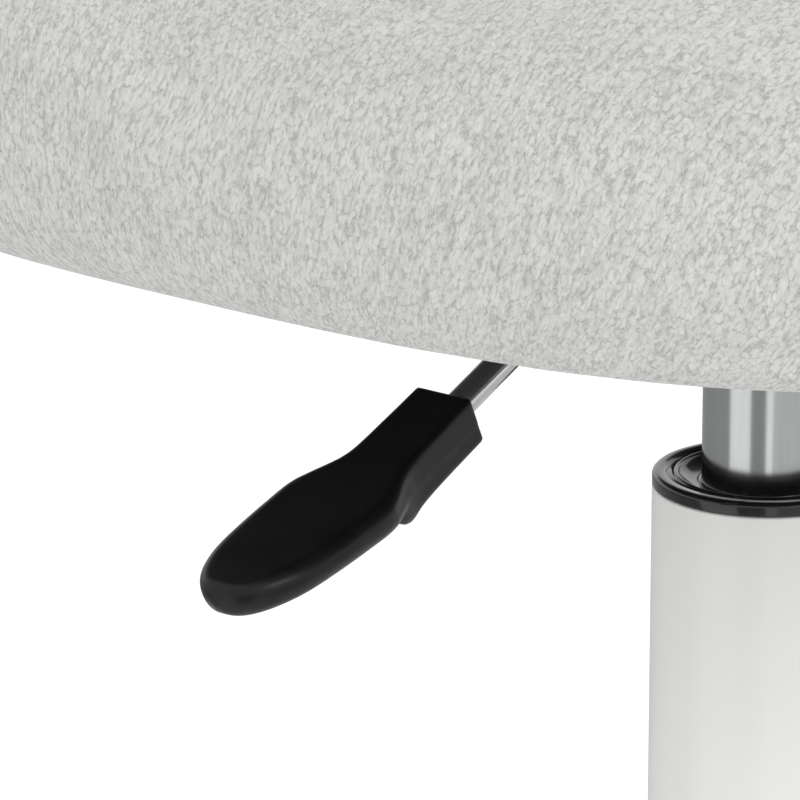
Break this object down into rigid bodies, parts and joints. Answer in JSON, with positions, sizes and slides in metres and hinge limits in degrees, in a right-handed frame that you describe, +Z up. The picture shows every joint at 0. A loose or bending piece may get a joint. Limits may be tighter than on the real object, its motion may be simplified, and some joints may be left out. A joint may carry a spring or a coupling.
{
  "type": "adjustable swivel stool",
  "caption": "Height-adjustable swivel stool with an upholstered seat, gas column, release lever and star base on casters.",
  "frame": {"origin": "on the floor, on the axis of the column", "axes": "+Z up along the column; -X along the release lever; -Y is the side that the sitter faces"},
  "size_m": [0.5719, 0.5399, 0.456],
  "materials": {
    "fabric": "light warm-grey mottled chenille weave",
    "foam": "cream polyurethane foam",
    "dust_cloth": "black non-woven cloth",
    "plywood": "birch plywood",
    "white_paint": "white powder coat, satin",
    "chrome": "polished chrome",
    "polished_steel": "polished steel rod",
    "zinc_steel": "zinc-plated steel",
    "black_steel": "black powder coat",
    "gloss_black": "glossy black moulded plastic",
    "satin_black": "satin black moulded plastic",
    "caster_black": "black nylon",
    "rubber": "black rubber",
    "brass": "machined brass"
  },
  "bodies": {
    "base": {"star_base": "white_paint", "outer_tube": "white_paint", "guide_bushing": "gloss_black", "tube_end_plate": "zinc_steel", "thrust_washer_lower": "zinc_steel", "bearing_balls": "polished_steel", "ball_cage": "brass", "bump_stop": "rubber"},
    "rod": {"piston_rod": "polished_steel", "thrust_washer_upper": "zinc_steel", "retaining_clip": "zinc_steel", "piston": "brass", "piston_seal": "rubber"},
    "seat": {"pressure_cylinder": "chrome", "cylinder_seal": "rubber", "valve_plug": "brass", "mechanism_sleeve": "black_steel", "mechanism_bracket": "black_steel", "mechanism_plate": "black_steel", "pivot_pin": "zinc_steel", "pivot_clips": "zinc_steel", "plate_screws": "zinc_steel", "screw_washers": "zinc_steel", "t_nuts": "zinc_steel", "seat_board": "plywood", "seat_foam": "foam", "seat_cover": "fabric", "dust_cover": "dust_cloth"},
    "lever": {"lever_rod": "polished_steel", "lever_pivot_sleeve": "zinc_steel", "lever_handle": "satin_black"},
    "valve_pin": {"release_pin": "polished_steel"},
    "caster_1": {"caster_stem_1": "zinc_steel", "caster_hood_1": "caster_black", "caster_axle_1": "zinc_steel"},
    "wheel_1_left": {"wheel_1_left": "caster_black"},
    "wheel_1_right": {"wheel_1_right": "caster_black"},
    "caster_2": {"caster_stem_2": "zinc_steel", "caster_hood_2": "caster_black", "caster_axle_2": "zinc_steel"},
    "wheel_2_left": {"wheel_2_left": "caster_black"},
    "wheel_2_right": {"wheel_2_right": "caster_black"},
    "caster_3": {"caster_stem_3": "zinc_steel", "caster_hood_3": "caster_black", "caster_axle_3": "zinc_steel"},
    "wheel_3_left": {"wheel_3_left": "caster_black"},
    "wheel_3_right": {"wheel_3_right": "caster_black"},
    "caster_4": {"caster_stem_4": "zinc_steel", "caster_hood_4": "caster_black", "caster_axle_4": "zinc_steel"},
    "wheel_4_left": {"wheel_4_left": "caster_black"},
    "wheel_4_right": {"wheel_4_right": "caster_black"},
    "caster_5": {"caster_stem_5": "zinc_steel", "caster_hood_5": "caster_black", "caster_axle_5": "zinc_steel"},
    "wheel_5_left": {"wheel_5_left": "caster_black"},
    "wheel_5_right": {"wheel_5_right": "caster_black"}
  },
  "joints": [
    {"name": "seat_swivel", "type": "hinge", "parent": "base", "child": "rod", "pos_m": [0, 0, 0.08], "axis": [0, 0, 1], "continuous": true},
    {"name": "seat_lift", "type": "slide", "parent": "rod", "child": "seat", "axis": [0, 0, 1], "range_m": [0, 0.13]},
    {"name": "lever_tilt", "type": "hinge", "parent": "seat", "child": "lever", "pos_m": [-0.022, 0, 0.3682], "axis": [0, 1, 0], "range_deg": [0, 7], "stiffness_Nm_per_rad": 2},
    {"name": "pin_press", "type": "slide", "parent": "seat", "child": "valve_pin", "axis": [0, 0, 1], "range_m": [-0.0032, 0]},
    {"name": "swivel_caster_1", "type": "hinge", "parent": "base", "child": "caster_1", "pos_m": [0, 0.25, 0.075], "axis": [0, 0, 1], "continuous": true},
    {"name": "turn_wheel_1_left", "type": "hinge", "parent": "caster_1", "child": "wheel_1_left", "pos_m": [0.01597, 0.25581, 0.025], "axis": [-0.342, 0.9397, 0], "continuous": true},
    {"name": "turn_wheel_1_right", "type": "hinge", "parent": "caster_1", "child": "wheel_1_right", "pos_m": [0.01597, 0.25581, 0.025], "axis": [-0.342, 0.9397, 0], "continuous": true},
    {"name": "swivel_caster_2", "type": "hinge", "parent": "base", "child": "caster_2", "pos_m": [-0.23776, 0.07725, 0.075], "axis": [0, 0, 1], "continuous": true},
    {"name": "turn_wheel_2_left", "type": "hinge", "parent": "caster_2", "child": "wheel_2_left", "pos_m": [-0.25418, 0.08165, 0.025], "axis": [-0.2588, -0.9659, 0], "continuous": true},
    {"name": "turn_wheel_2_right", "type": "hinge", "parent": "caster_2", "child": "wheel_2_right", "pos_m": [-0.25418, 0.08165, 0.025], "axis": [-0.2588, -0.9659, 0], "continuous": true},
    {"name": "swivel_caster_3", "type": "hinge", "parent": "base", "child": "caster_3", "pos_m": [-0.14695, -0.20225, 0.075], "axis": [0, 0, 1], "continuous": true},
    {"name": "turn_wheel_3_left", "type": "hinge", "parent": "caster_3", "child": "wheel_3_left", "pos_m": [-0.15276, -0.21823, 0.025], "axis": [0.9397, -0.342, 0], "continuous": true},
    {"name": "turn_wheel_3_right", "type": "hinge", "parent": "caster_3", "child": "wheel_3_right", "pos_m": [-0.15276, -0.21823, 0.025], "axis": [0.9397, -0.342, 0], "continuous": true},
    {"name": "swivel_caster_4", "type": "hinge", "parent": "base", "child": "caster_4", "pos_m": [0.14695, -0.20225, 0.075], "axis": [0, 0, 1], "continuous": true},
    {"name": "turn_wheel_4_left", "type": "hinge", "parent": "caster_4", "child": "wheel_4_left", "pos_m": [0.15135, -0.18583, 0.025], "axis": [-0.9659, 0.2588, 0], "continuous": true},
    {"name": "turn_wheel_4_right", "type": "hinge", "parent": "caster_4", "child": "wheel_4_right", "pos_m": [0.15135, -0.18583, 0.025], "axis": [-0.9659, 0.2588, 0], "continuous": true},
    {"name": "swivel_caster_5", "type": "hinge", "parent": "base", "child": "caster_5", "pos_m": [0.23776, 0.07725, 0.075], "axis": [0, 0, 1], "continuous": true},
    {"name": "turn_wheel_5_left", "type": "hinge", "parent": "caster_5", "child": "wheel_5_left", "pos_m": [0.24869, 0.06423, 0.025], "axis": [0.766, 0.6428, 0], "continuous": true},
    {"name": "turn_wheel_5_right", "type": "hinge", "parent": "caster_5", "child": "wheel_5_right", "pos_m": [0.24869, 0.06423, 0.025], "axis": [0.766, 0.6428, 0], "continuous": true}
  ],
  "couplings": [
    {"joint": "pin_press", "follows": "lever_tilt", "m_per_rad": -0.025}
  ]
}
